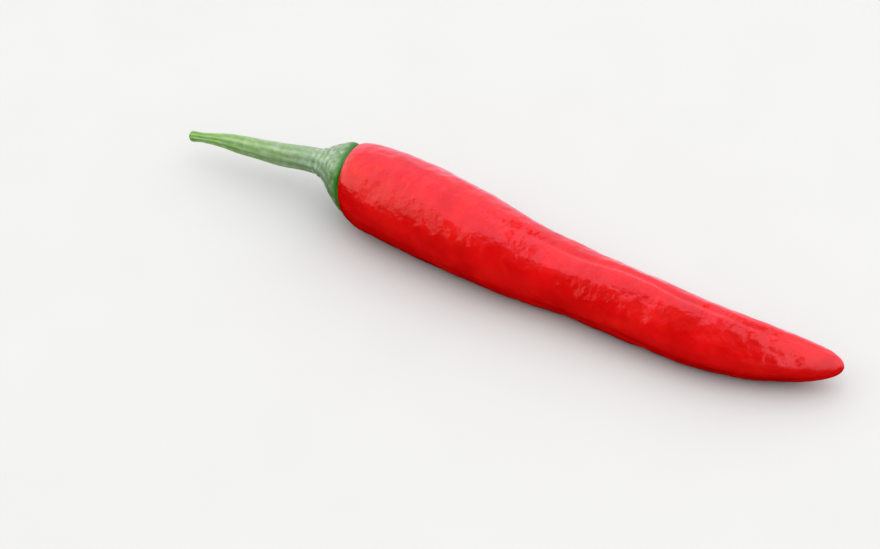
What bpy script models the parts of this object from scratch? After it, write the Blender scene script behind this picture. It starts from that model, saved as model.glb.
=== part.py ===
# A long chili pepper lying on its side, in two pieces: the pod, and the stem with its calyx cap.
# Lengths are in millimetres until mesh_object() turns them into metres.
# +X runs from the stem to the tip, +Z is up, and the pepper rests on z = 0.

import math

import bmesh
import bpy
from mathutils import Vector

METRES_PER_MM = 0.001
SIDES = 40
RING_STEP = 2.7  # longest distance between two rings
ROUTE_STEP = 0.5  # longest distance between two points on the stem's route
FACING_SPAN = 1.0  # a ring's facing is read over this length of its spine

# The pod is a turned outline on a bent spine. Distances run from the crest of its shoulder to its tip.
POD_OUTLINE = (
    # (distance, radius)
    (1.9, 0.0),  # middle of the hollow that the calyx sits in
    (1.8, 3.6),
    (1.0, 6.3),
    (0.0, 7.8),  # crest of the shoulder
    (1.0, 8.9),
    (4.0, 9.65),
    (13.0, 10.1),  # the widest stretch
    (23.0, 10.1),
    (37.0, 9.45),
    (51.0, 8.25),
    (61.0, 7.85),
    (79.0, 7.7),
    (93.0, 7.2),
    (103.0, 6.2),
    (111.0, 4.8),
    (116.4, 3.1),
    (119.2, 1.5),
    (120.0, 0.0),  # tip
)
# The spine, as (distance, value): how far it runs sideways, seen from above, and its height.
POD_SIDEWAYS = (
    (0, 2.8),
    (6, 1.9),
    (19, 0.2),
    (41, -3.2),
    (56, -3.7),
    (76, -5.2),
    (93, -5.9),
    (105, -4.3),
    (120, 0.0),
)
POD_HEIGHT = ((0, 9.6), (13, 9.8), (23, 9.8), (37, 9.2), (51, 8.0), (61, 7.6), (79, 7.4), (93, 7.1), (120, 5.6))
POD_START = -38.2  # x of the shoulder's crest
SHOULDER_FACING = Vector((-1.0, 0.0, -0.12)).normalized()
SHOULDER_LENGTH = 14.0  # from here on the rings are square to the spine

# The pod's chambers show as broad ribs, deepest where it narrows, with a furrow along its top.
# Their depth is a share of the radius.
CHAMBERS = 3
CHAMBER_TURN = math.radians(32)
CHAMBER_DEPTH = ((0, 0.0), (21, 0.005), (46, 0.018), (91, 0.03), (111, 0.03), (120, 0.0))

# Calyx and stem. Distances run outwards from the shoulder's crest, away from the pod.
CALYX_UNDERSIDE = (
    # (distance, radius), about 0.3 mm clear of the hollow in the pod
    (-1.55, 0.0),
    (-1.45, 3.5),
    (-0.7, 6.0),
    (0.3, 7.4),
)
CALYX_CAP = (
    (0.55, 7.6),  # edge of the cap
    (1.3, 7.65),
    (2.8, 7.2),
    (4.2, 6.5),
    (5.6, 5.6),
    (7.0, 4.7),
    (8.3, 3.9),
    (9.3, 3.35),
    (10.2, 3.05),  # ring where the stem leaves the cap
)
STEM_OUTLINE = (
    (12.0, 2.8),
    (15.0, 2.65),
    (20.0, 2.5),
    (26.0, 2.1),
    (32.0, 1.85),
    (36.0, 1.4),
    (39.0, 1.15),
    (41.5, 1.0),
    (43.6, 1.1),  # slightly swollen before the cut
    (44.3, 0.9),
)
CUT_END = (44.4, 0.65)
STEM_ROUTE = (
    # (x, sideways, height), from the middle of the cap to past the cut end
    (-43.2, 4.35, 10.1),
    (-48.0, 4.8, 9.7),
    (-52.0, 5.0, 9.2),
    (-58.0, 4.3, 8.7),
    (-66.0, 3.5, 8.5),
    (-74.0, 3.2, 7.8),
    (-88.0, 2.0, 5.6),
)
CAP_HEIGHT = CALYX_CAP[-1][0]  # up to here the rings turn from the shoulder's facing to the stem's own
TEETH = 5
TOOTH_REACH = 0.35
TOOTH_SHARE = 0.3  # share of the cap's height over which a tooth fades into it
CAP_RIB = 0.22
STEM_RIDGE = 0.05  # share of the stem's radius
RIDGE_RISE = 10.0  # length of stem over which its ridges grow

SKIN_RED = (0.62, 0.012, 0.014, 1.0)
SKIN_ROUGHNESS = 0.3
STEM_GREEN = (0.19, 0.33, 0.13, 1.0)
STEM_ROUGHNESS = 0.55


def blended(t, start, leaving, end, arriving):
    """The value at share t of a smooth step from start to end, with the given slopes at its ends."""
    return (
        (2 * t**3 - 3 * t**2 + 1) * start
        + (t**3 - 2 * t**2 + t) * leaving
        + (3 * t**2 - 2 * t**3) * end
        + (t**3 - t**2) * arriving
    )


def between(knots, x):
    """The value at x on a smooth curve through the (x, value) knots."""
    i = next((k for k in range(len(knots) - 2) if x <= knots[k + 1][0]), len(knots) - 2)
    span = knots[i + 1][0] - knots[i][0]

    def slope(k):
        before, after = knots[max(k - 1, 0)], knots[min(k + 1, len(knots) - 1)]
        return (after[1] - before[1]) / (after[0] - before[0])

    t = (x - knots[i][0]) / span
    return blended(t, knots[i][1], span * slope(i), knots[i + 1][1], span * slope(i + 1))


def through(points, step):
    """Points along a smooth curve through the given ones, no further apart than step."""
    points = [Vector(p) for p in points]
    padded = [2 * points[0] - points[1], *points, 2 * points[-1] - points[-2]]
    found = []
    for a, b, c, d in zip(padded, padded[1:], padded[2:], padded[3:]):
        pace = (c - b).length
        leaving = (c - a) * pace / ((b - a).length + pace)
        arriving = (d - b) * pace / ((d - c).length + pace)
        steps = max(1, math.ceil(pace / step))
        found += [blended(k / steps, b, leaving, c, arriving) for k in range(steps)]
    return [*found, points[-1]]


def clamped(share):
    return min(max(share, 0.0), 1.0)


def eased(share):
    """A share from 0 to 1 with a smooth start and end."""
    return clamped(share) ** 2 * (3 - 2 * clamped(share))


def facing_along(centre, distance):
    """The direction of a spine at a distance. centre gives the spine's point at any distance."""
    return (centre(distance + FACING_SPAN / 2) - centre(distance - FACING_SPAN / 2)).normalized()


def pod_centre(distance):
    return Vector((POD_START + distance, between(POD_SIDEWAYS, distance), between(POD_HEIGHT, distance)))


def pod_spine(distance):
    """Centre and facing of a ring of the pod, a distance past the shoulder's crest."""
    onwards = facing_along(pod_centre, distance)
    facing = (-SHOULDER_FACING).lerp(onwards, eased(distance / SHOULDER_LENGTH))
    return pod_centre(distance), facing.normalized()


def stem_spine():
    """A function that gives centre and facing of a ring of the calyx or stem at a distance."""
    route = through([pod_centre(0), *STEM_ROUTE], ROUTE_STEP)
    lengths = [0.0]
    for a, b in zip(route, route[1:]):
        lengths.append(lengths[-1] + (b - a).length)

    def centre(distance):
        if distance <= 0:
            return route[0] + distance * SHOULDER_FACING
        i = next(k for k in range(1, len(route)) if distance <= lengths[k])
        share = (distance - lengths[i - 1]) / (lengths[i] - lengths[i - 1])
        return route[i - 1].lerp(route[i], share)

    def spine(distance):
        onwards = facing_along(centre, distance)
        facing = SHOULDER_FACING.lerp(onwards, eased(distance / CAP_HEIGHT))
        return centre(distance), facing.normalized()

    return spine


def add_ring(bm, centre, facing, radius_at):
    """A ring of vertices square to facing. radius_at gives the radius at an angle."""
    level = facing.cross(Vector((0, 0, 1))).normalized()
    upward = level.cross(facing)
    found = []
    for k in range(SIDES):
        angle = 2 * math.pi * k / SIDES
        spoke = math.cos(angle) * level + math.sin(angle) * upward
        found.append(bm.verts.new(centre + radius_at(angle) * spoke))
    return found


def add_skin(bm, start, rings, end):
    """Faces over a row of rings, closed by a fan round the points start and end."""
    first, last = bm.verts.new(start), bm.verts.new(end)
    for k in range(SIDES):
        n = (k + 1) % SIDES
        bm.faces.new((first, rings[0][n], rings[0][k]))
        bm.faces.new((last, rings[-1][k], rings[-1][n]))
        for a, b in zip(rings, rings[1:]):
            bm.faces.new((a[k], a[n], b[n], b[k]))
    bmesh.ops.recalc_face_normals(bm, faces=bm.faces)


def make_material(name, colour, roughness):
    material = bpy.data.materials.new(name)
    material.use_nodes = True
    shader = material.node_tree.nodes["Principled BSDF"]
    shader.inputs["Base Color"].default_value = colour
    shader.inputs["Roughness"].default_value = roughness
    shader.inputs["Metallic"].default_value = 0.0
    return material


def mesh_object(name, bm, material):
    bmesh.ops.scale(bm, vec=(METRES_PER_MM,) * 3, verts=bm.verts)
    mesh = bpy.data.meshes.new(name)
    bm.to_mesh(mesh)
    bm.free()
    mesh.materials.append(material)
    mesh.shade_smooth()
    made = bpy.data.objects.new(name, mesh)
    bpy.context.scene.collection.objects.link(made)
    return made


def make_pod():
    """The pod: shoulder, body and tip, with the flat that it lies on."""
    bm = bmesh.new()
    outline = through(POD_OUTLINE, RING_STEP)
    rings = []
    for distance, radius in outline[1:-1]:
        depth = between(CHAMBER_DEPTH, distance)

        def radius_at(angle):
            return radius * (1 + depth * math.cos(CHAMBERS * (angle - CHAMBER_TURN)))

        rings.append(add_ring(bm, *pod_spine(distance), radius_at))
    add_skin(bm, pod_spine(outline[0][0])[0], rings, pod_spine(outline[-1][0])[0])
    for vertex in bm.verts:
        vertex.co.z = max(vertex.co.z, 0.0)
    return mesh_object("pod", bm, make_material("pod_skin", SKIN_RED, SKIN_ROUGHNESS))


def make_stem():
    """The calyx cap with its five teeth and ribs, and the ridged stem that grows out of it."""
    bm = bmesh.new()
    spine = stem_spine()
    outline = [
        *through(CALYX_UNDERSIDE, RING_STEP),
        *through((*CALYX_CAP, *STEM_OUTLINE), RING_STEP),
        Vector(CUT_END),
    ]
    edge = CALYX_CAP[0][0]
    rings = []
    for distance, radius in outline[1:]:
        on_cap = clamped((CAP_HEIGHT - distance) / (CAP_HEIGHT - edge)) * (distance >= edge)
        at_edge = clamped((on_cap - 1) / TOOTH_SHARE + 1)
        ridge = STEM_RIDGE * clamped((distance - CAP_HEIGHT) / RIDGE_RISE)

        def radius_at(angle):
            wave = math.cos(TEETH * angle)
            tooth = TOOTH_REACH * max(wave, 0.0) ** 2
            return radius * (1 + ridge * wave) + CAP_RIB * wave * on_cap + tooth * at_edge

        rings.append(add_ring(bm, *spine(distance), radius_at))
    add_skin(bm, spine(outline[0][0])[0], rings, spine(CUT_END[0])[0])
    return mesh_object("stem_and_calyx", bm, make_material("stem_green", STEM_GREEN, STEM_ROUGHNESS))


def centre_on_origin(objects):
    """Slides the pepper so that the middle of its box is over the origin."""
    corners = [v.co for made in objects for v in made.data.vertices]
    middle = [(min(c[i] for c in corners) + max(c[i] for c in corners)) / 2 for i in (0, 1)]
    for made in objects:
        for vertex in made.data.vertices:
            vertex.co.x -= middle[0]
            vertex.co.y -= middle[1]
    print("middle before centring, mm:", [round(m / METRES_PER_MM, 3) for m in middle])


for old in list(bpy.data.objects):
    bpy.data.objects.remove(old)
centre_on_origin([make_pod(), make_stem()])
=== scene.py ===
import math

import bmesh
import bpy
import numpy as np
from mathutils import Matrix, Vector


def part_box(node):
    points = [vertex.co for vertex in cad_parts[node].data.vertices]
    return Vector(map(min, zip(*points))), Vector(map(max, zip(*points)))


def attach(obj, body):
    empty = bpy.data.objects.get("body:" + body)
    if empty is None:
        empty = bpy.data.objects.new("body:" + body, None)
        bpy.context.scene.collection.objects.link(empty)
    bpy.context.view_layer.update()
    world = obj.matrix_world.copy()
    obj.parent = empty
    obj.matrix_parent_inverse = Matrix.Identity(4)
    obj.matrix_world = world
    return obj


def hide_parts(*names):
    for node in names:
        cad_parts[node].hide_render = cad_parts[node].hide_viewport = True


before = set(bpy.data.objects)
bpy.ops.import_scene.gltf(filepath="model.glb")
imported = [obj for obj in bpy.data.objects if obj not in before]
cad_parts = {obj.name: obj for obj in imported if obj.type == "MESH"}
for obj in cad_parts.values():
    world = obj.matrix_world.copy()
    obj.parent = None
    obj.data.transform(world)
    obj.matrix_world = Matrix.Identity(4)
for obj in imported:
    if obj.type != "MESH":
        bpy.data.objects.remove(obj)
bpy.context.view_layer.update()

mm = 0.001
print("frame loaded, nodes:", sorted(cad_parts))


# Numbers and curves

def blended(t, start, leaving, end, arriving):
    rising = 3 * t**2 - 2 * t**3
    return (1 - rising) * start + (t**3 - 2 * t**2 + t) * leaving + rising * end + (t**3 - t**2) * arriving


def between(knots, x):
    # the value at x on a smooth curve through (x, value) knots
    i = next((k for k in range(len(knots) - 2) if x <= knots[k + 1][0]), len(knots) - 2)
    slopes = []
    for k in (i, i + 1):
        before, after = knots[max(k - 1, 0)], knots[min(k + 1, len(knots) - 1)]
        slopes.append((after[1] - before[1]) / (after[0] - before[0]))
    span = knots[i + 1][0] - knots[i][0]
    return blended((x - knots[i][0]) / span, knots[i][1], span * slopes[0], knots[i + 1][1], span * slopes[1])


def through(points, step):
    # points along a smooth curve through the given ones, no further apart than step
    points = [Vector(p) for p in points]
    padded = [2 * points[0] - points[1], *points, 2 * points[-1] - points[-2]]
    found = []
    for a, b, c, d in zip(padded, padded[1:], padded[2:], padded[3:]):
        pace = (c - b).length
        leaving = (c - a) * pace / ((b - a).length + pace)
        arriving = (d - b) * pace / ((d - c).length + pace)
        steps = max(1, math.ceil(pace / step))
        found += [blended(k / steps, b, leaving, c, arriving) for k in range(steps)]
    return [*found, points[-1]]


def clamped(share):
    return min(max(share, 0.0), 1.0)


def eased(share):
    return clamped(share) ** 2 * (3 - 2 * clamped(share))


def fade(reach, span):
    # 0 before the span, 1 past it, smooth between
    return eased((reach - span[0]) / (span[1] - span[0]))


def facingAlong(centre, reach, half=0.5):
    # the way a spine runs at reach, read from half before it to half past it
    return (centre(reach + half) - centre(reach - half)).normalized()


def linear(hexColour):
    # sRGB hex to the linear colour that shaders work in
    parts = [int(hexColour[i:i + 2], 16) / 255 for i in (1, 3, 5)]
    return (*(p / 12.92 if p <= 0.04045 else ((p + 0.055) / 1.055) ** 2.4 for p in parts), 1.0)


# Node trees

def addNode(tree, kind, inputs=None, **settings):
    # adds a node, sets it up, and links or fills its inputs
    node = tree.nodes.new(kind)
    for name, value in settings.items():
        setattr(node, name, value)
    for name, value in (inputs or {}).items():
        if isinstance(value, bpy.types.NodeSocket):
            tree.links.new(value, node.inputs[name])
        else:
            node.inputs[name].default_value = value
    return node


def startTree(name, sizes):
    # a Geometry Nodes tree with a named input for each size and one for the material
    tree = bpy.data.node_groups.new(name, "GeometryNodeTree")
    tree.interface.new_socket("Geometry", in_out="INPUT", socket_type="NodeSocketGeometry")
    for label, value in sizes.items():
        tree.interface.new_socket(label, in_out="INPUT", socket_type="NodeSocketFloat").default_value = value
    tree.interface.new_socket("Skin", in_out="INPUT", socket_type="NodeSocketMaterial")
    tree.interface.new_socket("Geometry", in_out="OUTPUT", socket_type="NodeSocketGeometry")
    return tree, addNode(tree, "NodeGroupInput")


def finishTree(tree, geometry, material):
    smooth = addNode(tree, "GeometryNodeSetShadeSmooth", {"Geometry": geometry})
    whole = addNode(tree, "GeometryNodeRealizeInstances", {"Geometry": smooth.outputs["Geometry"]})
    painted = addNode(tree, "GeometryNodeSetMaterial", {"Geometry": whole.outputs["Geometry"],
                                                        "Material": material})
    addNode(tree, "NodeGroupOutput", {"Geometry": painted.outputs["Geometry"]})


def growFrom(base, tree, values):
    # runs a tree on an object with its inputs set, and leaves what it grows as a plain mesh
    modifier = base.modifiers.new(tree.name, "NODES")
    modifier.node_group = tree
    for item in tree.interface.items_tree:
        if item.in_out == "INPUT" and item.name in values:
            modifier[item.identifier] = values[item.name]
    bpy.context.view_layer.update()
    evaluated = base.evaluated_get(bpy.context.evaluated_depsgraph_get())
    mesh = bpy.data.meshes.new_from_object(evaluated)
    base.modifiers.remove(modifier)
    base.data = mesh
    return base


# Lofted pieces

def loft(name, rings, start, end, turns):
    # a closed skin over rings of (centre, facing, radii, notes), with each note kept as a point attribute
    points = []
    for centre, facing, radii, notes in rings:
        level = facing.cross(Vector((0, 0, 1))).normalized()
        upward = level.cross(facing)
        points.append(np.array(centre) + radii[:, None] * (
            np.cos(turns)[:, None] * np.array(level) + np.sin(turns)[:, None] * np.array(upward)))
    points = np.concatenate([*points, [start], [end]]) * mm
    sides, count = len(turns), len(rings)
    here = np.arange(sides)
    after = (here + 1) % sides
    faces = []
    for row in range(count - 1):
        faces += np.stack([row * sides + here, row * sides + after, (row + 1) * sides + after,
                           (row + 1) * sides + here], 1).tolist()
    first, last = count * sides, count * sides + 1
    faces += [(first, int(n), int(k)) for k, n in zip(here, after)]
    faces += [(last, int((count - 1) * sides + k), int((count - 1) * sides + n)) for k, n in zip(here, after)]
    mesh = bpy.data.meshes.new(name)
    mesh.from_pydata(points.tolist(), [], faces)
    for label in rings[0][3]:
        values = np.concatenate([*(notes[label] * np.ones(sides) for _, _, _, notes in rings),
                                 [float(np.mean(rings[0][3][label]))], [float(np.mean(rings[-1][3][label]))]])
        mesh.attributes.new(label, "FLOAT", "POINT").data.foreach_set("value", values.astype(np.float32))
    work = bmesh.new()
    work.from_mesh(mesh)
    bmesh.ops.recalc_face_normals(work, faces=work.faces)
    work.to_mesh(mesh)
    work.free()
    piece = bpy.data.objects.new(name, mesh)
    bpy.context.scene.collection.objects.link(piece)
    return piece


pod = {
    # (reach from the shoulder's crest, radius)
    "outline": [(1.9, 0.0), (1.8, 3.6), (1.0, 6.3), (0.0, 7.8), (1.0, 8.9), (4.0, 9.65), (13.0, 10.1),
                (23.0, 10.1), (37.0, 9.45), (51.0, 8.25), (61.0, 7.85), (79.0, 7.7), (93.0, 7.2), (103.0, 6.2),
                (111.0, 4.8), (116.0, 3.35), (118.6, 2.1), (119.7, 1.0), (120.0, 0.0)],
    "sideways": [(0, 2.8), (6, 1.9), (19, 0.2), (41, -3.2), (56, -3.7), (76, -5.2), (93, -5.9), (105, -4.3),
                 (120, 0.0)],
    "height": [(0, 9.6), (13, 9.8), (23, 9.8), (37, 9.2), (51, 8.0), (61, 7.6), (79, 7.4), (93, 7.1),
               (120, 5.6)],
    "start": -38.2,  # x of the crest before the pepper is centred
    "facing": Vector((-1.0, 0.0, -0.12)).normalized(),  # the way the shoulder faces
    "shoulder": 14.0,  # from here on the rings are square to the spine
    "chambers": 3,
    "chamberTurn": math.radians(32),
    # by reach, as shares of the radius: how far the chambers stand out, and how far the upper sides are
    # flattened towards the tip, which leaves a ridge on top
    "chamberDepth": [(0, 0.0), (21, 0.005), (46, 0.018), (91, 0.03), (111, 0.03), (120, 0.0)],
    "flatSides": [(0, 0.0), (58, 0.0), (74, 0.07), (101, 0.075), (112, 0.03), (120, 0.0)],
    # by reach, as shares of the furrows' full depth
    "furrow": [(0, 0.0), (24, 0.0), (42, 0.7), (60, 1.0), (98, 1.0), (110, 0.5), (120, 0.0)],
    "furrowUnder": 0.1,  # share of that depth left on the underside, as the furrow on top is deepest
    "furrowWidth": 0.12,  # radians
    "wander": [(0.10, 9.0, 0.0), (0.05, 3.7, 1.0)],  # how furrows waver: radians, length, start
    "reliefStarts": (0.0, 4.0),  # the relief fades in and out over these stretches of reach
    "reliefEnds": (115.0, 120.0),
    "relief": {
        "Lump Size": 8.5 * mm, "Lump Height": 0.9 * mm,
        "Dent Length": 18 * mm, "Dent Width": 4.5 * mm, "Dent Height": 0.5 * mm,
        "Ripple Spacing": 2.4 * mm, "Ripple Length": 5 * mm, "Ripple Height": 0.2 * mm,
        "Furrow Depth": 0.45 * mm, "Seed": 4.0,
    },
    "ringStep": 0.32,
    "sides": 220,
}


def podCentre(reach):
    return Vector((pod["start"] + reach, between(pod["sideways"], reach), between(pod["height"], reach)))


def buildPod(place):
    turns = np.arange(pod["sides"]) * 2 * math.pi / pod["sides"] - math.pi / 2
    onTop = 0.5 + 0.5 * np.sin(turns)  # 1 along the top, 0 along the underside
    outline = through(pod["outline"], pod["ringStep"])
    crest = min(range(len(outline) // 2), key=lambda k: outline[k][0])
    rings = []
    for k, (reach, radius) in enumerate(outline[1:-1], 1):
        depth = between(pod["chamberDepth"], reach)
        wave = np.cos(pod["chambers"] * (turns - pod["chamberTurn"]))
        flat = max(between(pod["flatSides"], reach), 0.0) * onTop
        radii = radius * (1 + (depth - flat) * wave)
        square = eased(reach / pod["shoulder"])
        facing = (-pod["facing"]).lerp(facingAlong(podCentre, reach), square).normalized()
        # a furrow runs between each two chambers, and off is the angle to its middle
        wander = sum(angle * math.sin(reach / length + start) for angle, length, start in pod["wander"])
        off = np.arccos(np.clip(-np.cos(pod["chambers"] * (turns - pod["chamberTurn"] - wander)), -1, 1))
        furrow = np.exp(-(off / pod["chambers"] / pod["furrowWidth"]) ** 2)
        furrow *= max(between(pod["furrow"], reach), 0)
        furrow *= pod["furrowUnder"] + (1 - pod["furrowUnder"]) * onTop
        # the hollow that the calyx covers stays smooth
        skin = 0.0 if k <= crest else fade(reach, pod["reliefStarts"]) * (1 - fade(reach, pod["reliefEnds"]))
        rings.append((podCentre(reach) + place, facing, radii,
                      {"reach": reach, "furrow": furrow, "skin": skin}))
    ends = [podCentre(outline[i][0]) + place for i in (0, -1)]
    piece = loft("pod_skin", rings, *ends, turns)
    for vertex in piece.data.vertices:
        vertex.co.z = max(vertex.co.z, 0.0)  # the flat that it rests on
    return piece


def podTree():
    # lumps, lengthwise dents, fine cross ripples and the furrows, raised along the skin's own normal
    tree, given = startTree("podRelief", pod["relief"])
    place = addNode(tree, "GeometryNodeInputPosition").outputs[0]
    total = None
    for label, across, height, detail in (("Lump Size", "Lump Size", "Lump Height", 2.0),
                                          ("Dent Length", "Dent Width", "Dent Height", 1.0),
                                          ("Ripple Spacing", "Ripple Length", "Ripple Height", 2.0)):
        size = addNode(tree, "ShaderNodeCombineXYZ", {0: given.outputs[label], 1: given.outputs[across],
                                                       2: given.outputs[across]})
        spot = addNode(tree, "ShaderNodeVectorMath", {0: place, 1: size.outputs[0]}, operation="DIVIDE")
        noise = addNode(tree, "ShaderNodeTexNoise", {"Vector": spot.outputs[0], "W": given.outputs["Seed"],
                                                     "Scale": 1.0, "Detail": detail}, noise_dimensions="4D")
        centred = addNode(tree, "ShaderNodeMath", {0: noise.outputs[0], 1: 0.5}, operation="SUBTRACT")
        part = addNode(tree, "ShaderNodeMath", {0: centred.outputs[0], 1: given.outputs[height],
                                                2: total if total else 0.0}, operation="MULTIPLY_ADD")
        total = part.outputs[0]
    furrow = addNode(tree, "GeometryNodeInputNamedAttribute", {"Name": "furrow"}, data_type="FLOAT")
    cut = addNode(tree, "ShaderNodeMath", {0: furrow.outputs[0], 1: given.outputs["Furrow Depth"]},
                  operation="MULTIPLY")
    raised = addNode(tree, "ShaderNodeMath", {0: total, 1: cut.outputs[0]}, operation="SUBTRACT")
    skin = addNode(tree, "GeometryNodeInputNamedAttribute", {"Name": "skin"}, data_type="FLOAT")
    held = addNode(tree, "ShaderNodeMath", {0: raised.outputs[0], 1: skin.outputs[0]}, operation="MULTIPLY")
    outwards = addNode(tree, "ShaderNodeVectorMath", {0: addNode(tree, "GeometryNodeInputNormal").outputs[0],
                                                      "Scale": held.outputs[0]}, operation="SCALE")
    moved = addNode(tree, "GeometryNodeSetPosition", {"Geometry": given.outputs["Geometry"],
                                                      "Offset": outwards.outputs[0]})
    # nothing sinks below the surface that the pepper lies on
    split = addNode(tree, "ShaderNodeSeparateXYZ", {0: addNode(tree, "GeometryNodeInputPosition").outputs[0]})
    floorZ = addNode(tree, "ShaderNodeMath", {0: split.outputs[2], 1: 0.0}, operation="MAXIMUM")
    joined = addNode(tree, "ShaderNodeCombineXYZ", {0: split.outputs[0], 1: split.outputs[1],
                                                    2: floorZ.outputs[0]})
    rested = addNode(tree, "GeometryNodeSetPosition", {"Geometry": moved.outputs[0],
                                                       "Position": joined.outputs[0]})
    finishTree(tree, rested.outputs[0], given.outputs["Skin"])
    return tree


stem = {
    # (reach from the shoulder's crest along the stem, radius), from the underside's middle to the cut end
    "underside": [(-1.55, 0.0), (-1.45, 3.5), (-0.7, 6.0), (0.3, 7.4)],
    "cap": [(0.55, 7.6), (1.3, 7.65), (2.8, 7.2), (4.2, 6.5), (5.6, 5.6), (7.0, 4.7), (8.3, 3.9), (9.3, 3.35),
            (10.2, 3.05)],
    "stalk": [(12.0, 2.88), (15.0, 2.76), (20.0, 2.6), (26.0, 2.26), (32.0, 1.97), (36.0, 1.5), (39.0, 1.2),
              (41.5, 1.04), (43.6, 1.15), (44.3, 0.9)],
    "cut": [(44.4, 0.65), (44.33, 0.3)],
    # the spine's points, before the pepper is centred
    "route": [(-43.2, 4.35, 10.1), (-48.0, 4.8, 9.7), (-52.0, 5.0, 9.2), (-58.0, 4.3, 8.7), (-66.0, 3.5, 8.5),
              (-74.0, 3.2, 7.8), (-88.0, 2.0, 5.6)],
    "teeth": 5,
    "toothReach": 0.35,
    "toothShare": 0.3,  # share of the cap's height over which a tooth fades into it
    "capRib": 0.22,
    "ridge": 0.05,  # share of the radius
    "ridgeRise": 10.0,  # length of stalk over which its ridges grow
    # stretches of reach over which the stalk's relief and the cap's relief fade in and out
    "stalkStarts": (8.2, 12.2),
    "stalkEnds": (43.8, 44.4),
    "domeStarts": (0.55, 1.55),
    "domeEnds": (10.2, 12.2),
    "domeFull": (3.0, 7.0),
    "edgeShare": 0.15,  # share of the cap's relief that reaches its edge
    "driftSize": 2.2,  # of the noise that bends wrinkles, veins and ridges
    # wrinkle spacing and the collar's reach and width are in millimetres of reach
    "relief": {
        "Wrinkle Spacing": 1.7, "Wrinkle Height": 0.08 * mm, "Wrinkle Bend": 1.1,
        "Veins": 10.0, "Vein Height": 0.08 * mm,
        "Ridges": 8.0, "Ridge Height": 0.12 * mm, "Line Waver": 0.25,
        "Fibre Length": 9 * mm, "Fibre Width": 0.7 * mm, "Fibre Height": 0.16 * mm,
        "Collar Reach": 9.7, "Collar Width": 0.5, "Collar Height": 0.18 * mm,
        "Seed": 3.0,
    },
    "routeStep": 0.25,
    "undersideStep": 0.5,
    "ringStep": 0.22,
    "sides": 180,
}


def stemSpine():
    # the stem's centre as a function of reach
    route = through([podCentre(0), *stem["route"]], stem["routeStep"])
    lengths = [0.0]
    for a, b in zip(route, route[1:]):
        lengths.append(lengths[-1] + (b - a).length)

    def centre(reach):
        if reach <= 0:
            return route[0] + reach * pod["facing"]
        i = next(k for k in range(1, len(route)) if reach <= lengths[k])
        return route[i - 1].lerp(route[i], (reach - lengths[i - 1]) / (lengths[i] - lengths[i - 1]))

    return centre


def buildStem(place):
    turns = np.arange(stem["sides"]) * 2 * math.pi / stem["sides"] - math.pi / 2
    centre = stemSpine()
    edge, top, end = (stem["cap"][0][0], stem["cap"][-1][0], stem["stalk"][-1][0])
    outline = [*through(stem["underside"], stem["undersideStep"]),
               *through(stem["cap"] + stem["stalk"], stem["ringStep"]), *(Vector(p) for p in stem["cut"])]
    wave = np.cos(stem["teeth"] * turns)
    rings = []
    for reach, radius in outline[1:]:
        onCap = clamped((top - reach) / (top - edge)) * (reach >= edge)
        atEdge = clamped((onCap - 1) / stem["toothShare"] + 1)
        ridge = stem["ridge"] * clamped((reach - top) / stem["ridgeRise"])
        tooth = stem["toothReach"] * np.maximum(wave, 0) ** 2
        radii = radius * (1 + ridge * wave) + stem["capRib"] * wave * onCap + tooth * atEdge
        facing = pod["facing"].lerp(facingAlong(centre, reach), eased(reach / top)).normalized()
        onStalk = fade(reach, stem["stalkStarts"]) * (1 - fade(reach, stem["stalkEnds"]))
        onDome = fade(reach, stem["domeStarts"]) * (1 - fade(reach, stem["domeEnds"]))
        onDome *= stem["edgeShare"] + (1 - stem["edgeShare"]) * fade(reach, stem["domeFull"])
        rings.append((centre(reach) + place, facing, radii, {
            "reach": reach, "turn": turns, "stalk": onStalk, "dome": onDome, "cutEnd": float(reach > end)}))
    return loft("stem_and_calyx_skin", rings, centre(outline[0][0]) + place,
                centre(stem["cut"][-1][0]) + place, turns)


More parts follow.
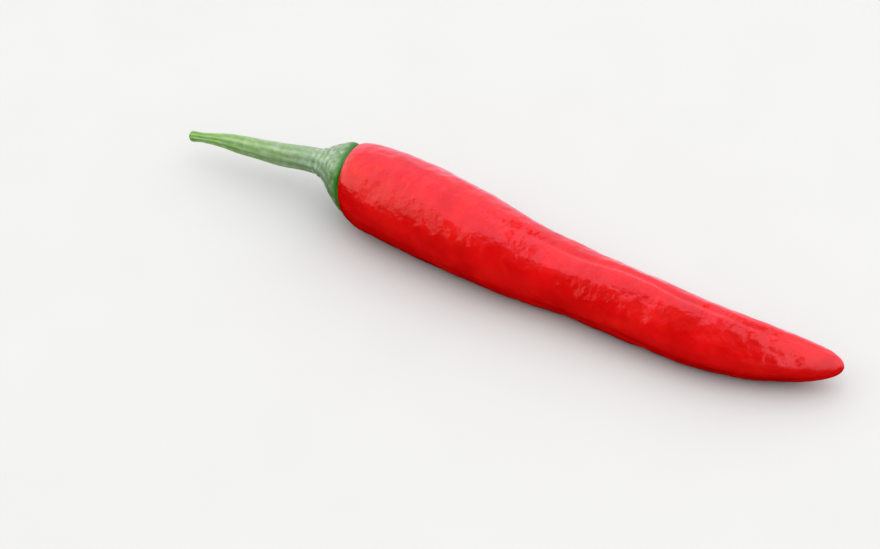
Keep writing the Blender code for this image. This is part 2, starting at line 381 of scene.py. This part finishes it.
def stemTree():
    # curved wrinkles and veins on the cap, lengthwise ridges and fibres on the stalk, and a collar between
    tree, given = startTree("stemRelief", stem["relief"])
    place = addNode(tree, "GeometryNodeInputPosition").outputs[0]
    notes = {label: addNode(tree, "GeometryNodeInputNamedAttribute", {"Name": label},
                            data_type="FLOAT").outputs[0] for label in ("reach", "turn", "stalk", "dome")}
    spread = addNode(tree, "ShaderNodeVectorMath", {0: place, "Scale": 1 / (stem["driftSize"] * mm)},
                     operation="SCALE")
    drift = addNode(tree, "ShaderNodeTexNoise", {"Vector": spread.outputs[0], "W": given.outputs["Seed"],
                                                 "Scale": 1.0, "Detail": 1.0}, noise_dimensions="4D")
    # wrinkles run round the cap, bent by the noise and weaker in places
    bands = addNode(tree, "ShaderNodeMath", {0: notes["reach"], 1: given.outputs["Wrinkle Spacing"]},
                    operation="DIVIDE")
    bent = addNode(tree, "ShaderNodeMath", {0: drift.outputs[0], 1: given.outputs["Wrinkle Bend"],
                                            2: bands.outputs[0]}, operation="MULTIPLY_ADD")
    angle = addNode(tree, "ShaderNodeMath", {0: bent.outputs[0], 1: 2 * math.pi}, operation="MULTIPLY")
    crinkle = addNode(tree, "ShaderNodeMath", {0: angle.outputs[0]}, operation="SINE")
    patchy = addNode(tree, "ShaderNodeMapRange", {0: drift.outputs[0], 1: 0.35, 2: 0.65, 3: 0.25, 4: 1.0})
    crinkleDome = addNode(tree, "ShaderNodeMath", {0: crinkle.outputs[0], 1: notes["dome"]},
                          operation="MULTIPLY")
    crinkleOn = addNode(tree, "ShaderNodeMath", {0: crinkleDome.outputs[0], 1: patchy.outputs[0]},
                        operation="MULTIPLY")
    wrinkle = addNode(tree, "ShaderNodeMath", {0: crinkleOn.outputs[0], 1: given.outputs["Wrinkle Height"]},
                      operation="MULTIPLY")
    # veins and ridges run from the calyx's edge towards the cut end
    lines, crests = {}, {}
    for label, height, share in (("Veins", "Vein Height", "dome"), ("Ridges", "Ridge Height", "stalk")):
        waver = addNode(tree, "ShaderNodeMath", {0: drift.outputs[0], 1: given.outputs["Line Waver"],
                                                 2: notes["turn"]}, operation="MULTIPLY_ADD")
        turned = addNode(tree, "ShaderNodeMath", {0: waver.outputs[0], 1: given.outputs[label]},
                         operation="MULTIPLY")
        crest = addNode(tree, "ShaderNodeMath", {0: turned.outputs[0]}, operation="COSINE")
        crests[label] = addNode(tree, "ShaderNodeMath", {0: crest.outputs[0], 1: notes[share]},
                                operation="MULTIPLY").outputs[0]
        lines[label] = addNode(tree, "ShaderNodeMath", {0: crests[label], 1: given.outputs[height]},
                               operation="MULTIPLY").outputs[0]
    # fibres are long, thin noise
    size = addNode(tree, "ShaderNodeCombineXYZ", {0: given.outputs["Fibre Length"],
                                                  1: given.outputs["Fibre Width"],
                                                  2: given.outputs["Fibre Width"]})
    spot = addNode(tree, "ShaderNodeVectorMath", {0: place, 1: size.outputs[0]}, operation="DIVIDE")
    fibre = addNode(tree, "ShaderNodeTexNoise", {"Vector": spot.outputs[0], "W": given.outputs["Seed"],
                                                 "Scale": 1.0, "Detail": 2.0}, noise_dimensions="4D")
    centred = addNode(tree, "ShaderNodeMath", {0: fibre.outputs[0], 1: 0.5}, operation="SUBTRACT")
    grain = addNode(tree, "ShaderNodeMath", {0: centred.outputs[0], 1: given.outputs["Fibre Height"]},
                    operation="MULTIPLY")
    onStalk = addNode(tree, "ShaderNodeMath", {0: grain.outputs[0], 1: notes["stalk"]}, operation="MULTIPLY")
    # the collar is a low ring where the cap ends
    away = addNode(tree, "ShaderNodeMath", {0: notes["reach"], 1: given.outputs["Collar Reach"]},
                   operation="SUBTRACT")
    scaled = addNode(tree, "ShaderNodeMath", {0: away.outputs[0], 1: given.outputs["Collar Width"]},
                     operation="DIVIDE")
    squared = addNode(tree, "ShaderNodeMath", {0: scaled.outputs[0], 1: scaled.outputs[0]},
                      operation="MULTIPLY")
    negative = addNode(tree, "ShaderNodeMath", {0: squared.outputs[0], 1: -1.0}, operation="MULTIPLY")
    bell = addNode(tree, "ShaderNodeMath", {0: negative.outputs[0]}, operation="EXPONENT")
    collar = addNode(tree, "ShaderNodeMath", {0: bell.outputs[0], 1: given.outputs["Collar Height"]},
                     operation="MULTIPLY")
    total = collar.outputs[0]
    for part in (wrinkle.outputs[0], lines["Veins"], lines["Ridges"], onStalk.outputs[0]):
        total = addNode(tree, "ShaderNodeMath", {0: total, 1: part}, operation="ADD").outputs[0]
    outwards = addNode(tree, "ShaderNodeVectorMath", {0: addNode(tree, "GeometryNodeInputNormal").outputs[0],
                                                      "Scale": total}, operation="SCALE")
    moved = addNode(tree, "GeometryNodeSetPosition", {"Geometry": given.outputs["Geometry"],
                                                      "Offset": outwards.outputs[0]})
    # the material reads where the skin stands proud, for painted sheen on the cap's crinkles and painted shade
    # in the stalk's grooves
    noted = addNode(tree, "GeometryNodeStoreNamedAttribute",
                    {"Geometry": moved.outputs[0], "Name": "crinkle", "Value": crinkleOn.outputs[0]},
                    data_type="FLOAT", domain="POINT")
    notedAgain = addNode(tree, "GeometryNodeStoreNamedAttribute",
                         {"Geometry": noted.outputs[0], "Name": "crest", "Value": crests["Ridges"]},
                         data_type="FLOAT", domain="POINT")
    finishTree(tree, notedAgain.outputs[0], given.outputs["Skin"])
    return tree


# Materials

def newMaterial(name):
    material = bpy.data.materials.new(name)
    material.use_nodes = True
    tree = material.node_tree
    return material, tree, tree.nodes["Principled BSDF"]


pepperSkin = {
    "flesh": ("#b00101", "#c80101"),
    "patchSize": 9.0,
    "streak": "#cc0302",
    "streakWidth": 1.1,
    "streakStretch": 18,
    "fleck": "#cc1405",  # less ripe
    "fleckSize": 5.0,
    "waxSize": 3.0,
    "waxHeight": 0.5,
    "cellSize": 0.5,  # coarser than real skin cells, so that they show
    "cellHeight": 0.06,
    "bumpStrength": 0.7,
    "roughness": (0.14, 0.22),
    "shader": {"IOR": 1.4, "Specular IOR Level": 0.35, "Coat Weight": 0.3, "Coat Roughness": 0.08,
               "Coat IOR": 1.4, "Subsurface Weight": 0.12, "Subsurface Radius": (1.0, 0.25, 0.15),
               "Subsurface Scale": 1.2 * mm},
}


def waxyPepperSkin():
    # Ripe chili skin: a thin, clear wax over deep red flesh. The eye sees a saturated red with a broad soft
    # gloss whose edge breaks up on the small lumps of the skin.
    material, tree, shader = newMaterial("waxyPepperSkin")
    where = addNode(tree, "ShaderNodeTexCoord").outputs["Object"]
    patches = addNode(tree, "ShaderNodeTexNoise", {"Vector": where, "Scale": 1 / (pepperSkin["patchSize"] * mm),
                                                   "Detail": 3.0, "Roughness": 0.55})
    depth = addNode(tree, "ShaderNodeValToRGB", {"Fac": patches.outputs["Fac"]})
    for element, spot, colour in zip(depth.color_ramp.elements, (0.32, 0.68), pepperSkin["flesh"]):
        element.position = spot
        element.color = linear(colour)
    # faint lengthwise streaks
    squeezed = addNode(tree, "ShaderNodeMapping", {"Vector": where,
                                                   "Scale": (1 / pepperSkin["streakStretch"], 1.0, 1.0)})
    streaks = addNode(tree, "ShaderNodeTexNoise", {"Vector": squeezed.outputs[0], "Detail": 2.0,
                                                   "Scale": 1 / (pepperSkin["streakWidth"] * mm)})
    streakShare = addNode(tree, "ShaderNodeMapRange", {0: streaks.outputs["Fac"], 1: 0.55, 2: 0.8,
                                                       3: 0.0, 4: 0.35})
    streaked = addNode(tree, "ShaderNodeMix", {"Factor": streakShare.outputs[0], "A": depth.outputs["Color"],
                                               "B": linear(pepperSkin["streak"])}, data_type="RGBA")
    # less ripe flecks, a little towards orange
    flecks = addNode(tree, "ShaderNodeTexNoise", {"Vector": where, "Scale": 1 / (pepperSkin["fleckSize"] * mm),
                                                  "Detail": 2.0})
    fleckShare = addNode(tree, "ShaderNodeMapRange", {0: flecks.outputs["Fac"], 1: 0.55, 2: 0.75,
                                                      3: 0.0, 4: 0.5})
    flecked = addNode(tree, "ShaderNodeMix", {"Factor": fleckShare.outputs[0], "A": streaked.outputs[2],
                                              "B": linear(pepperSkin["fleck"])}, data_type="RGBA")
    tree.links.new(flecked.outputs[2], shader.inputs["Base Color"])
    shine = addNode(tree, "ShaderNodeMapRange", {0: patches.outputs["Fac"], 1: 0.3, 2: 0.7,
                                                 3: pepperSkin["roughness"][0], 4: pepperSkin["roughness"][1]})
    tree.links.new(shine.outputs[0], shader.inputs["Roughness"])
    # skin cells over uneven wax
    wax = addNode(tree, "ShaderNodeTexNoise", {"Vector": where, "Scale": 1 / (pepperSkin["waxSize"] * mm),
                                               "Detail": 2.0})
    cells = addNode(tree, "ShaderNodeTexNoise", {"Vector": where, "Scale": 1 / (pepperSkin["cellSize"] * mm),
                                                 "Detail": 1.0})
    waxBump = addNode(tree, "ShaderNodeBump", {
        "Height": wax.outputs["Fac"], "Strength": pepperSkin["bumpStrength"],
        "Distance": pepperSkin["waxHeight"] * mm})
    cellBump = addNode(tree, "ShaderNodeBump", {
        "Height": cells.outputs["Fac"], "Strength": pepperSkin["bumpStrength"],
        "Distance": pepperSkin["cellHeight"] * mm, "Normal": waxBump.outputs[0]})
    tree.links.new(cellBump.outputs[0], shader.inputs["Normal"])
    tree.links.new(cellBump.outputs[0], shader.inputs["Coat Normal"])
    for name, value in pepperSkin["shader"].items():
        shader.inputs[name].default_value = value
    return material


stemSkin = {
    # (share of the way from the calyx's edge to the cut, colour); the darker greens by the edge are partly
    # painted shade where the calyx turns in against the pod
    "zones": [(0.07, "#426e2c"), (0.1, "#4f783d"), (0.14, "#5e8052"), (0.3, "#738f6a"), (0.5, "#74945b"),
              (0.78, "#79a44e"), (1.0, "#669a30")],
    "zoneReach": (-2.0, 46.0),
    "fibre": "#52723a",
    "fibreWidth": 0.7,
    "fibreStretch": 12,
    "fibreHeight": 0.06,
    # painted shade in the grooves between the stalk's ridges
    "grooveShade": "#48692c",
    # grey bloom, which on the calyx's wrinkle crests is painted sheen
    "bloomAndSheen": "#92a48e",
    "bloomSize": 1.5,
    "speck": "#b3c0b0",
    "speckSize": 1.3,
    # deep fresh green, darkened as painted shade where the calyx's edge meets the pod
    "rimGreenAndShade": "#1e6c06",
    "cut": "#8fa562",
    "roughness": (0.38, 0.56),
    "shader": {"IOR": 1.45, "Specular IOR Level": 0.45, "Subsurface Weight": 0.1,
               "Subsurface Radius": (0.5, 1.0, 0.3), "Subsurface Scale": 0.8 * mm},
}


def greenStemSkin():
    # Fresh pepper stem and calyx: tough green tissue under a thin grey bloom. The eye sees a satin grey-green,
    # fibrous along the stalk, yellower towards the cut, with a thin fresh green rim by the pod. Painted shade
    # darkens that rim and the grooves along the stalk, and painted sheen lightens the crests of the calyx's
    # wrinkles.
    material, tree, shader = newMaterial("greenStemSkin")
    where = addNode(tree, "ShaderNodeTexCoord").outputs["Object"]
    reach = addNode(tree, "ShaderNodeAttribute", attribute_name="reach").outputs["Fac"]
    crinkle = addNode(tree, "ShaderNodeAttribute", attribute_name="crinkle").outputs["Fac"]
    cutEnd = addNode(tree, "ShaderNodeAttribute", attribute_name="cutEnd").outputs["Fac"]
    crest = addNode(tree, "ShaderNodeAttribute", attribute_name="crest").outputs["Fac"]
    along = addNode(tree, "ShaderNodeMapRange", {0: reach, 1: stemSkin["zoneReach"][0],
                                                 2: stemSkin["zoneReach"][1], 3: 0.0, 4: 1.0})
    zones = addNode(tree, "ShaderNodeValToRGB", {"Fac": along.outputs[0]})
    ramp = zones.color_ramp
    for element, (spot, colour) in zip(ramp.elements, (stemSkin["zones"][0], stemSkin["zones"][-1])):
        element.position = spot
        element.color = linear(colour)
    for spot, colour in stemSkin["zones"][1:-1]:
        ramp.elements.new(spot).color = linear(colour)
    squeezed = addNode(tree, "ShaderNodeMapping", {"Vector": where,
                                                   "Scale": (1 / stemSkin["fibreStretch"], 1.0, 1.0)})
    fibres = addNode(tree, "ShaderNodeTexNoise", {"Vector": squeezed.outputs[0], "Detail": 3.0,
                                                  "Scale": 1 / (stemSkin["fibreWidth"] * mm)})
    fibreShare = addNode(tree, "ShaderNodeMapRange", {0: fibres.outputs["Fac"], 1: 0.42, 2: 0.62,
                                                      3: 0.0, 4: 0.32})
    fibrous = addNode(tree, "ShaderNodeMix", {"Factor": fibreShare.outputs[0], "A": zones.outputs["Color"],
                                              "B": linear(stemSkin["fibre"])}, data_type="RGBA")
    # painted shade: the grooves between the stalk's ridges are darker
    grooveShadeShare = addNode(tree, "ShaderNodeMapRange", {0: crest, 1: -1.0, 2: 0.3, 3: 0.28, 4: 0.0})
    withGrooveShade = addNode(tree, "ShaderNodeMix", {"Factor": grooveShadeShare.outputs[0], "A": fibrous.outputs[2],
                                              "B": linear(stemSkin["grooveShade"])}, data_type="RGBA")
    # grey bloom lies in patches, and its extra share on the wrinkles' crests is painted sheen
    bloomAndSheen = addNode(tree, "ShaderNodeTexNoise", {"Vector": where, "Scale": 1 / (stemSkin["bloomSize"] * mm),
                                                 "Detail": 3.0})
    high = addNode(tree, "ShaderNodeMath", {0: crinkle, 1: 0.45, 2: bloomAndSheen.outputs["Fac"]},
                   operation="MULTIPLY_ADD")
    bloomAndSheenShare = addNode(tree, "ShaderNodeMapRange", {0: high.outputs[0], 1: 0.45, 2: 0.8, 3: 0.0, 4: 0.6})
    withBloomAndSheen = addNode(tree, "ShaderNodeMix", {"Factor": bloomAndSheenShare.outputs[0], "A": withGrooveShade.outputs[2],
                                              "B": linear(stemSkin["bloomAndSheen"])}, data_type="RGBA")
    # whitish specks, mostly on the calyx
    specks = addNode(tree, "ShaderNodeTexNoise", {"Vector": where, "Scale": 1 / (stemSkin["speckSize"] * mm),
                                                  "Detail": 2.0})
    speckShare = addNode(tree, "ShaderNodeMapRange", {0: specks.outputs["Fac"], 1: 0.45, 2: 0.75,
                                                      3: 0.0, 4: 0.5})
    speckWhere = addNode(tree, "ShaderNodeMapRange", {0: reach, 1: 9.0, 2: 14.0, 3: 1.0, 4: 0.25})
    speckMask = addNode(tree, "ShaderNodeMath", {0: speckShare.outputs[0], 1: speckWhere.outputs[0]},
                        operation="MULTIPLY")
    specked = addNode(tree, "ShaderNodeMix", {"Factor": speckMask.outputs[0], "A": withBloomAndSheen.outputs[2],
                                              "B": linear(stemSkin["speck"])}, data_type="RGBA")
    # the calyx's thin edge by the pod is a deep fresh green, darkened with painted shade where it turns in
    # against the pod
    rimShadeEdge = addNode(tree, "ShaderNodeMath", {0: bloomAndSheen.outputs["Fac"], 1: -1.6, 2: reach},
                      operation="MULTIPLY_ADD")
    rimShadeShare = addNode(tree, "ShaderNodeMapRange", {0: rimShadeEdge.outputs[0], 1: 0.2, 2: 1.3, 3: 1.0, 4: 0.0})
    withRimShade = addNode(tree, "ShaderNodeMix", {"Factor": rimShadeShare.outputs[0], "A": specked.outputs[2],
                                             "B": linear(stemSkin["rimGreenAndShade"])}, data_type="RGBA")
    cut = addNode(tree, "ShaderNodeMix", {"Factor": cutEnd, "A": withRimShade.outputs[2],
                                          "B": linear(stemSkin["cut"])}, data_type="RGBA")
    tree.links.new(cut.outputs[2], shader.inputs["Base Color"])
    shine = addNode(tree, "ShaderNodeMapRange", {0: bloomAndSheen.outputs["Fac"], 1: 0.3, 2: 0.7,
                                                 3: stemSkin["roughness"][0], 4: stemSkin["roughness"][1]})
    tree.links.new(shine.outputs[0], shader.inputs["Roughness"])
    fibreBump = addNode(tree, "ShaderNodeBump", {"Height": fibres.outputs["Fac"], "Strength": 0.6,
                                                 "Distance": stemSkin["fibreHeight"] * mm})
    tree.links.new(fibreBump.outputs[0], shader.inputs["Normal"])
    for name, value in stemSkin["shader"].items():
        shader.inputs[name].default_value = value
    return material


def paleCard():
    # Matt card: pressed paper, light grey with faint blotches 30 mm across. Under this light the eye sees an
    # even, nearly white ground.
    material, tree, shader = newMaterial("paleCard")
    where = addNode(tree, "ShaderNodeTexCoord").outputs["Object"]
    pulp = addNode(tree, "ShaderNodeTexNoise", {"Vector": where, "Scale": 1 / (30 * mm), "Detail": 2.0})
    tint = addNode(tree, "ShaderNodeMix", {"Factor": pulp.outputs["Fac"], "A": linear("#b3b3b2"),
                                           "B": linear("#b7b7b6")}, data_type="RGBA")
    tree.links.new(tint.outputs[2], shader.inputs["Base Color"])
    shader.inputs["Roughness"].default_value = 0.8
    shader.inputs["Specular IOR Level"].default_value = 0.05
    return material


# The pepper

# the pod's tip and its nearer side are set on the CAD pod's, which centres the pepper
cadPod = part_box("pod")
tip = podCentre(pod["outline"][-1][0])
place = Vector((cadPod[1].x / mm - tip.x, 0.0, 0.0))
podPiece = buildPod(place)
nearSide = min(vertex.co.y for vertex in podPiece.data.vertices)
place.y = (cadPod[0].y - nearSide) / mm
for vertex in podPiece.data.vertices:
    vertex.co.y += place.y * mm
growFrom(podPiece, podTree(), {**pod["relief"], "Skin": waxyPepperSkin()})
print("pod:", len(podPiece.data.polygons), "faces")

stemPiece = buildStem(place)
growFrom(stemPiece, stemTree(), {**stem["relief"], "Skin": greenStemSkin()})
print("stem and calyx:", len(stemPiece.data.polygons), "faces")

for piece, node, slot in ((podPiece, "pod", "pod_skin"), (stemPiece, "stem_and_calyx", "stem_green")):
    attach(piece, "root")
    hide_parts(node)


# Floor, light and camera

studio = {
    "floorSize": 4000,
    "skyStrength": 0.6,
    # each light as name, place, where it points, size, radiance, colour; the ceiling lights card and pepper
    "ceiling": ("ceilingPanel", (0, 500, 750), (0, 500, 0), (4000, 3200), 1.6, (1.0, 1.0, 1.0)),
    # walls and roof of a white tent and the lit card behind and beside the pepper, which only the reflections
    # in its skin show, each as bright as the photo's highlights ask
    "tent": [
        ("leftWallFront", (-1000, -1350, 750), (0, -1350, 750), (700, 1100), 1.2, (1.0, 0.95, 0.88)),
        ("leftWall", (-1000, -250, 650), (0, -250, 650), (1500, 1300), 2.0, (1.0, 0.95, 0.9)),
        ("leftWallBack", (-1000, 1000, 650), (0, 1000, 650), (1000, 1300), 1.4, (1.0, 0.83, 1.03)),
        ("backWall", (0, 1500, 650), (0, 0, 650), (2000, 1300), 1.15, (1.0, 0.83, 1.03)),
        ("cardBehind", (0, 754, 0.5), (0, 754, 1000), (2000, 1492), 1.0, (1.0, 0.83, 1.03)),
        ("cardRight", (600, -600, 0.5), (600, -600, 1000), (1000, 1190), 1.1, (1.0, 0.85, 1.0)),
        ("roofLeft", (-770, 425, 1300), (-770, 425, 0), (460, 2150), 1.95, (1.0, 0.8, 1.08)),
        ("roofMiddle", (-400, 425, 1300), (-400, 425, 0), (280, 2150), 1.5, (1.0, 0.8, 1.08)),
        ("roofRidge", (-130, 425, 1300), (-130, 425, 0), (260, 2150), 2.2, (1.0, 0.8, 1.08)),
        ("roofCorner", (-875, -875, 1300), (-875, -875, 0), (250, 450), 1.75, (1.0, 0.9, 1.0)),
        ("roofRight", (600, 350, 1300), (600, 350, 0), (800, 2300), 2.0, (1.0, 0.85, 1.0)),
        ("rightWall", (1000, 0, 650), (0, 0, 650), (3000, 1300), 2.1, (1.0, 0.85, 1.0)),
    ],
    "azimuth": 28.137,
    "elevation": 40.0,
    "distance": 651.85,
    "lens": 120.0,  # on a 36 mm sensor
    "target": (-11.107, -7.415, 0.0),
}


def buildFloor():
    half = studio["floorSize"] / 2 * mm
    mesh = bpy.data.meshes.new("studio_floor")
    corners = [(-half, -half, 0), (half, -half, 0), (half, half, 0), (-half, half, 0)]
    mesh.from_pydata(corners, [], [(0, 1, 2, 3)])
    mesh.materials.append(paleCard())
    card = bpy.data.objects.new("studio_floor", mesh)
    bpy.context.scene.collection.objects.link(card)
    card.visible_glossy = False  # the gloss shows the tent only, as if the pepper lay on something dark


def aim(thing, target):
    thing.rotation_euler = (Vector(target) * mm - thing.location).to_track_quat("-Z", "Y").to_euler()


def buildLights():
    world = bpy.data.worlds.new("softSky")
    bpy.context.scene.world = world
    world.use_nodes = True
    background = world.node_tree.nodes["Background"]
    background.inputs["Color"].default_value = (1.0, 1.0, 1.0, 1.0)
    background.inputs["Strength"].default_value = studio["skyStrength"]
    world.cycles_visibility.glossy = False
    for name, spot, target, size, radiance, colour in (studio["ceiling"], *studio["tent"]):
        light = bpy.data.lights.new(name, "AREA")
        light.shape = "RECTANGLE"
        light.size, light.size_y = size[0] * mm, size[1] * mm
        light.energy = radiance * math.pi * light.size * light.size_y
        light.color = colour
        lamp = bpy.data.objects.new(name, light)
        lamp.location = Vector(spot) * mm
        lamp.visible_camera = False
        lamp.visible_diffuse = name == studio["ceiling"][0]
        lamp.visible_glossy = not lamp.visible_diffuse
        bpy.context.scene.collection.objects.link(lamp)
        aim(lamp, target)


def buildCamera():
    camera = bpy.data.objects.new("photoCamera", bpy.data.cameras.new("photoCamera"))
    camera.data.lens = studio["lens"]
    camera.data.sensor_width = 36.0
    camera.data.clip_start = 0.01
    turn, lift = math.radians(studio["azimuth"]), math.radians(studio["elevation"])
    back = Vector((math.sin(turn) * math.cos(lift), -math.cos(turn) * math.cos(lift), math.sin(lift)))
    target = Vector(studio["target"]) + place
    camera.location = (target + studio["distance"] * back) * mm
    bpy.context.scene.collection.objects.link(camera)
    aim(camera, target)
    bpy.context.scene.camera = camera


buildFloor()
buildLights()
buildCamera()
bpy.context.scene.view_settings.view_transform = "Standard"
print("floor, light and camera in place")
